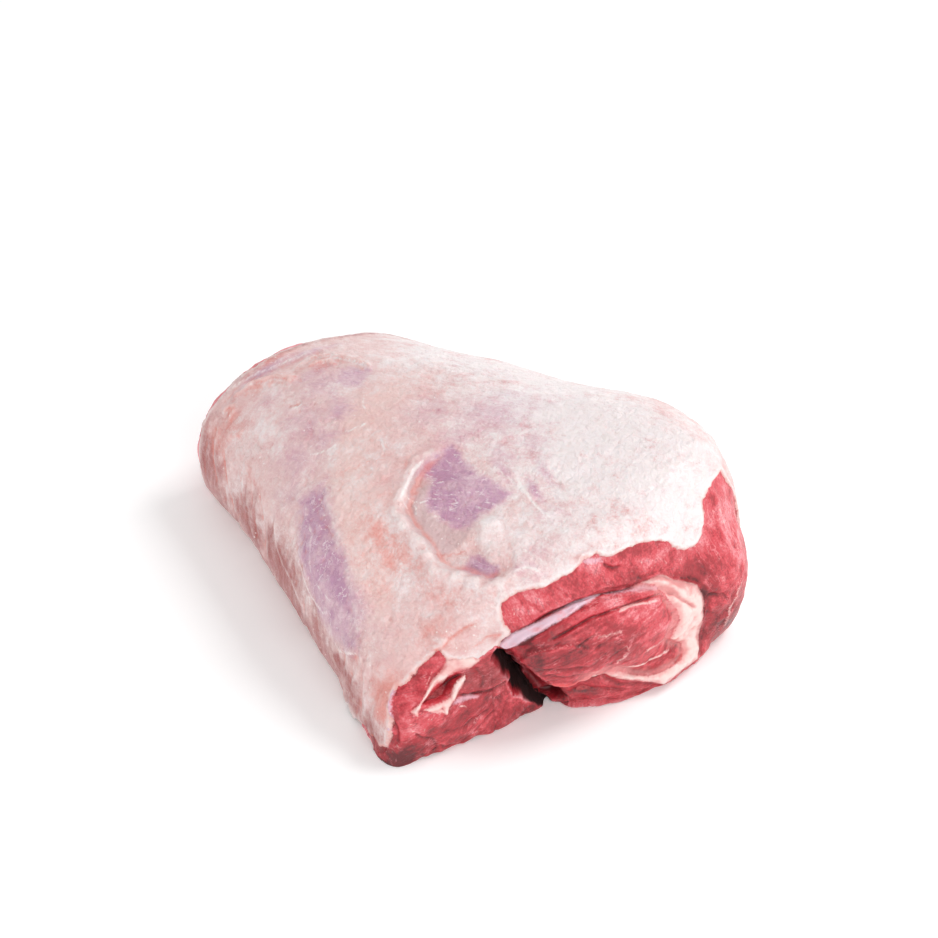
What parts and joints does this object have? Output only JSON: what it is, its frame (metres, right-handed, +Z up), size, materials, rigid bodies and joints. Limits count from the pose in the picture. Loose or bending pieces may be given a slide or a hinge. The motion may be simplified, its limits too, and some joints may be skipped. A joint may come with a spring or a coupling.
{
  "type": "leg of lamb",
  "caption": "Raw boned leg of lamb with the shank off: a tapered block of meat under a pale fat cap, with a rolled muscle bulging from its cut front face.",
  "frame": {"origin": "middle of the footprint, on the face that the meat rests on", "axes": "+Z up, +Y from the cut front face to the narrow rump end, +X across to the right of the front face"},
  "size_m": [0.1853, 0.2146, 0.0893],
  "materials": {
    "fat_cap": "moist satin fat, cream to pale pink, with thin places where purple membrane shows",
    "red_meat": "moist cut muscle, deep red with fine fibres",
    "silverskin": "thin glossy membrane and fat edge, pale lilac to cream"
  },
  "bodies": {
    "root": {"leg_of_lamb": "fat_cap"}
  },
  "joints": []
}
